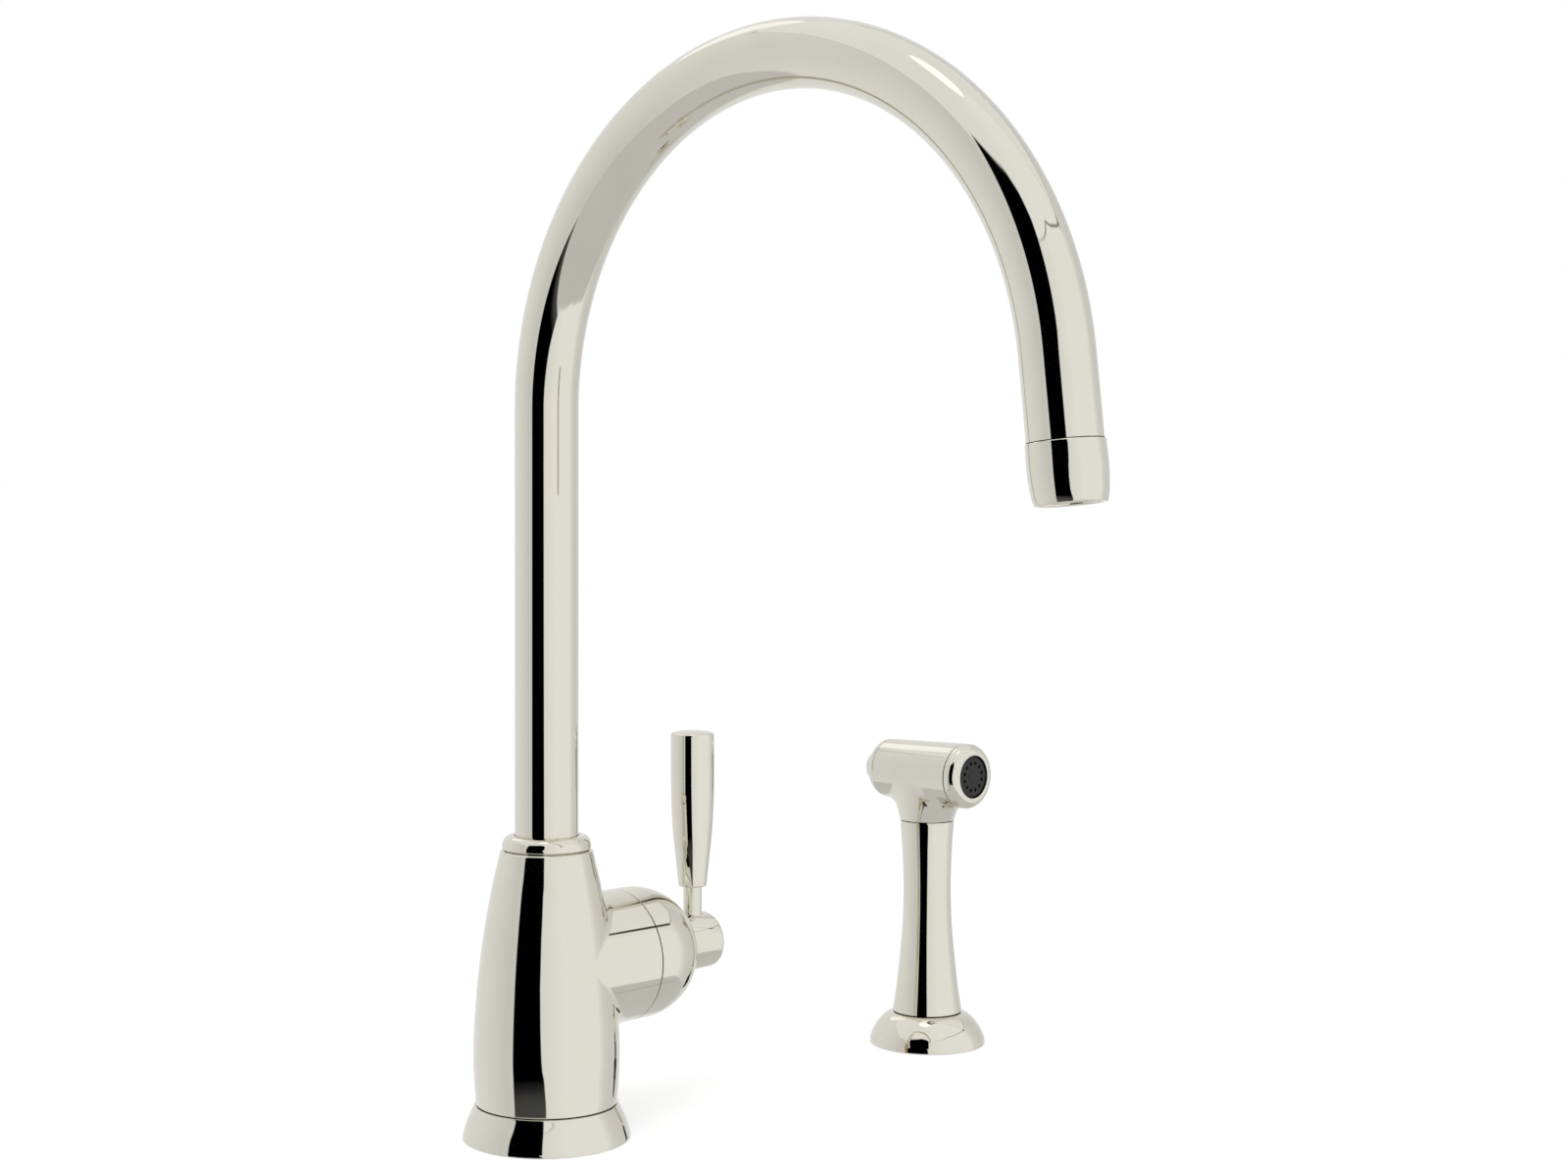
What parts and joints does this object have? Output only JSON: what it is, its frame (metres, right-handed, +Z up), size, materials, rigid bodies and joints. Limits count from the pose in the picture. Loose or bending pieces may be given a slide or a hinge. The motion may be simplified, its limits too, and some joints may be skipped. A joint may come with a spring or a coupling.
{
  "type": "side spray kitchen faucet",
  "caption": "Single-lever kitchen faucet: swivelling gooseneck spout on a tapered body with a side lever, and a separate pull-out side spray in its own deck holder.",
  "frame": {"origin": "top of the deck, at the centre of the faucet's deck hole and on the axis of the body and riser", "axes": "+Z up; the spout reaches towards -Y, over the basin; the lever and the side spray are towards +X"},
  "size_m": [0.2555, 0.2647, 0.4442],
  "materials": {
    "polished_nickel": "polished nickel plate on brass, warm and mirror-bright",
    "brass": "turned, unplated",
    "stainless_steel": "turned or drawn, bare",
    "black_rubber": "matt moulded",
    "dark_plastic": "moulded, satin",
    "spray_face_plastic": "moulded dark grey, satin",
    "pale_plastic": "moulded acetal, natural",
    "ceramic_disc": "lapped alumina"
  },
  "bodies": {
    "faucet_base": {"base_flange": "polished_nickel", "deck_gasket": "black_rubber", "faucet_body": "polished_nickel", "mounting_shank": "brass", "shank_rubber_washer": "black_rubber", "shank_steel_washer": "stainless_steel", "shank_nut": "brass", "hot_inlet": "brass", "cold_inlet": "brass", "spray_outlet": "brass", "diverter_cage": "dark_plastic", "spout_thrust_washer": "pale_plastic", "spout_bush": "pale_plastic", "spout_collar": "polished_nickel", "cartridge_base": "pale_plastic", "hot_port_seal": "black_rubber", "cold_port_seal": "black_rubber", "mixed_port_seal": "black_rubber", "fixed_disc": "ceramic_disc", "cartridge_housing": "dark_plastic", "cartridge_nut": "brass", "dome_cover": "polished_nickel", "spray_flange": "polished_nickel", "spray_gasket": "black_rubber", "spray_guide": "dark_plastic", "spray_washer": "black_rubber", "spray_nut": "dark_plastic"},
    "diverter": {"diverter_plunger": "brass"},
    "spout": {"spout_tube": "polished_nickel", "spout_sleeve": "brass", "spout_seal_lower": "black_rubber", "spout_seal_upper": "black_rubber", "aerator_housing": "polished_nickel", "aerator_washer": "black_rubber", "aerator_insert": "dark_plastic"},
    "temperature_rotor": {"cartridge_rotor": "pale_plastic", "spindle_pin": "stainless_steel"},
    "lever": {"cartridge_spindle": "stainless_steel", "dome_shield": "dark_plastic", "handle_knob": "polished_nickel", "knob_grub_screw": "stainless_steel", "lever_stem": "polished_nickel", "lever_grip": "polished_nickel"},
    "sliding_valve": {"sliding_disc": "ceramic_disc", "disc_carrier": "dark_plastic"},
    "spray_hose_end": {"hose_connector": "brass", "hose_seal": "black_rubber"},
    "spray": {"spray_handle": "polished_nickel", "neck_seal": "black_rubber", "spray_head": "polished_nickel", "nozzle_ring": "polished_nickel", "nozzle_face": "spray_face_plastic", "nozzle_screen": "pale_plastic", "nozzle_gasket": "black_rubber", "stem_guide": "brass", "button_spring": "stainless_steel"},
    "spray_valve": {"spray_button": "polished_nickel", "valve_stem": "stainless_steel", "valve_rubber": "black_rubber"}
  },
  "joints": [
    {"name": "spout_swivel", "type": "hinge", "parent": "faucet_base", "child": "spout", "pos_m": [0, 0, 0.084], "axis": [0, 0, 1], "continuous": true},
    {"name": "lever_turn", "type": "hinge", "parent": "faucet_base", "child": "temperature_rotor", "pos_m": [0.0406, 0, 0.0582], "axis": [1, 0, 0], "range_deg": [-45, 45]},
    {"name": "lever_tilt", "type": "hinge", "parent": "temperature_rotor", "child": "lever", "pos_m": [0.0406, 0, 0.0582], "axis": [0, 1, 0], "range_deg": [0, 15]},
    {"name": "disc_slide", "type": "slide", "parent": "temperature_rotor", "child": "sliding_valve", "axis": [0, 0, 1], "range_m": [0, 0.0017]},
    {"name": "diverter_slide", "type": "slide", "parent": "faucet_base", "child": "diverter", "axis": [0, 0, 1], "range_m": [0, 0.0025]},
    {"name": "spray_lift", "type": "slide", "parent": "faucet_base", "child": "spray_hose_end", "axis": [0, 0, 1], "range_m": [0, 0.08]},
    {"name": "spray_turn", "type": "hinge", "parent": "spray_hose_end", "child": "spray", "pos_m": [0.2032, 0, 0.05], "axis": [0, 0, 1], "continuous": true},
    {"name": "button_press", "type": "slide", "parent": "spray", "child": "spray_valve", "axis": [0, -1, 0], "range_m": [0, 0.0025], "stiffness_N_per_m": 900, "springref_m": -0.003, "deforming": ["button_spring"]}
  ],
  "couplings": [
    {"joint": "disc_slide", "follows": "lever_tilt", "m_per_rad": 0.0062}
  ]
}
